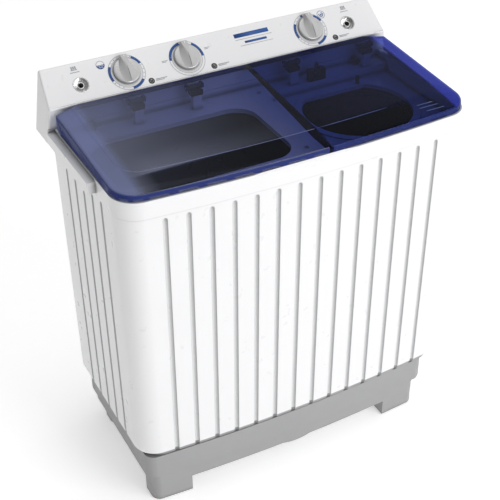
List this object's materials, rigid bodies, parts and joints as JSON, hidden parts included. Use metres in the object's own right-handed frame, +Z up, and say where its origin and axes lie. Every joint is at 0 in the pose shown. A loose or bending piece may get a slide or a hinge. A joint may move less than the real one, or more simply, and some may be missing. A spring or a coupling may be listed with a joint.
{
  "type": "twin tub washing machine",
  "caption": "Twin tub washing machine with a fluted white cabinet on a grey base, two translucent blue lids and a sloping console with knobs.",
  "frame": {"origin": "on the floor, midway between the sides and midway between front and back", "axes": "+Z up, -Y the front, +X to the right seen from the front (wash tub on the left at -X)"},
  "size_m": [0.74, 0.3906, 0.8087],
  "materials": {
    "base_plastic": "moulded grey plastic, fine satin texture",
    "cabinet_plastic": "glossy white moulded plastic",
    "tub_plastic": "dark charcoal moulded polypropylene",
    "basket_plastic": "dark moulded plastic",
    "pulsator_plastic": "white moulded plastic",
    "wash_lid_plastic": "translucent blue moulded plastic",
    "spin_lid_plastic": "translucent deep blue moulded plastic",
    "knob_plastic": "silver painted plastic",
    "nozzle_plastic": "silver grey plastic",
    "dark_plastic": "black moulded plastic",
    "filter_plastic": "pale grey moulded plastic with mesh",
    "black_rubber": "black rubber",
    "hose_plastic": "grey corrugated flexible plastic",
    "cable_sheath": "black cable sheath",
    "steel": "plain steel",
    "zinc_steel": "zinc plated steel",
    "cast_alloy": "die cast alloy",
    "bronze": "sintered bronze"
  },
  "bodies": {
    "casing": {"base": "base_plastic", "foot_pads": "black_rubber", "cabinet": "cabinet_plastic", "rear_cover": "cabinet_plastic", "case_screws": "zinc_steel", "top_frame": "cabinet_plastic", "console": "cabinet_plastic", "inlet_nozzles": "nozzle_plastic", "inlet_pipes": "dark_plastic", "wash_timer": "dark_plastic", "drain_selector": "dark_plastic", "spin_timer": "dark_plastic", "capacitor": "cast_alloy", "wiring_harness": "cable_sheath", "power_cord": "cable_sheath", "power_plug": "dark_plastic", "cord_grip": "dark_plastic", "lid_hinge_brackets": "dark_plastic", "lid_hinge_pins": "steel", "lid_switch": "dark_plastic", "twin_tub": "tub_plastic", "lint_filter": "filter_plastic", "overflow_filter": "tub_plastic", "shaft_housing": "cast_alloy", "shaft_bushes": "bronze", "water_seal": "black_rubber", "drive_belt": "black_rubber", "wash_motor": "steel", "motor_bracket": "zinc_steel", "motor_bolts": "zinc_steel", "spin_seal": "black_rubber", "spin_motor": "steel", "motor_springs": "steel", "spring_seats": "black_rubber", "brake_cable": "cable_sheath", "drain_valve": "tub_plastic", "valve_spring": "steel", "drain_hose": "hose_plastic"},
    "wash_lid": {"wash_lid": "wash_lid_plastic"},
    "spin_lid": {"spin_lid": "spin_lid_plastic"},
    "wash_timer_knob": {"wash_timer_knob": "knob_plastic", "wash_timer_shaft": "steel"},
    "drain_selector_knob": {"drain_selector_knob": "knob_plastic", "drain_selector_shaft": "steel"},
    "spin_timer_knob": {"spin_timer_knob": "knob_plastic", "spin_timer_shaft": "steel"},
    "agitator": {"pulsator": "pulsator_plastic", "pulsator_screw": "zinc_steel", "pulsator_shaft": "steel", "large_pulley": "cast_alloy"},
    "wash_rotor": {"wash_motor_rotor": "steel", "small_pulley": "cast_alloy"},
    "spinner": {"spin_basket": "basket_plastic", "spin_shaft": "steel", "brake_drum": "cast_alloy", "spin_motor_rotor": "steel"},
    "brake_lever": {"brake_lever": "zinc_steel"},
    "lid_switch_lever": {"lid_switch_lever": "steel"},
    "lid_plunger": {"lid_plunger": "dark_plastic"},
    "valve_plunger": {"valve_plunger": "black_rubber"}
  },
  "joints": [
    {"name": "wash_lid_hinge", "type": "hinge", "parent": "casing", "child": "wash_lid", "pos_m": [-0.155, 0.106, 0.741], "axis": [-1, 0, 0], "range_deg": [0, 102]},
    {"name": "spin_lid_hinge", "type": "hinge", "parent": "casing", "child": "spin_lid", "pos_m": [0.197, 0.106, 0.741], "axis": [-1, 0, 0], "range_deg": [0, 102]},
    {"name": "wash_timer_turn", "type": "hinge", "parent": "casing", "child": "wash_timer_knob", "pos_m": [-0.195, 0.15587, 0.77778], "axis": [0, 0.6468, -0.7627], "range_deg": [0, 300]},
    {"name": "drain_selector_turn", "type": "hinge", "parent": "casing", "child": "drain_selector_knob", "pos_m": [-0.071, 0.15587, 0.77778], "axis": [0, 0.6468, -0.7627], "range_deg": [-75, 75]},
    {"name": "spin_timer_turn", "type": "hinge", "parent": "casing", "child": "spin_timer_knob", "pos_m": [0.2015, 0.15587, 0.77778], "axis": [0, 0.6468, -0.7627], "range_deg": [0, 300]},
    {"name": "pulsator_turn", "type": "hinge", "parent": "casing", "child": "agitator", "pos_m": [-0.15, -0.023, 0.25], "axis": [0, 0, 1], "continuous": true},
    {"name": "wash_motor_turn", "type": "hinge", "parent": "casing", "child": "wash_rotor", "pos_m": [-0.005, 0.02, 0.24], "axis": [0, 0, 1], "continuous": true},
    {"name": "spin_turn", "type": "hinge", "parent": "casing", "child": "spinner", "pos_m": [0.202, -0.027, 0.3], "axis": [0, 0, 1], "continuous": true},
    {"name": "brake_lever_pivot", "type": "hinge", "parent": "casing", "child": "brake_lever", "pos_m": [0.26, -0.05, 0.244], "axis": [0, 0, 1], "range_deg": [0, 3.8]},
    {"name": "lid_switch_pivot", "type": "hinge", "parent": "casing", "child": "lid_switch_lever", "pos_m": [0.18, 0.093, 0.719], "axis": [-1, 0, 0], "range_deg": [0, 6]},
    {"name": "lid_plunger_slide", "type": "slide", "parent": "casing", "child": "lid_plunger", "axis": [0, 0, 1], "range_m": [0, 0.006]},
    {"name": "drain_valve_lift", "type": "slide", "parent": "casing", "child": "valve_plunger", "axis": [0, 0, 1], "range_m": [0, 0.008], "deforming": ["valve_spring"]}
  ],
  "couplings": [
    {"joint": "wash_motor_turn", "follows": "pulsator_turn", "ratio": 4.4179},
    {"joint": "brake_lever_pivot", "follows": "spin_lid_hinge", "ratio": 0.037218},
    {"joint": "lid_switch_pivot", "follows": "spin_lid_hinge", "ratio": 0.058765},
    {"joint": "lid_plunger_slide", "follows": "spin_lid_hinge", "m_per_rad": 0.003367}
  ]
}
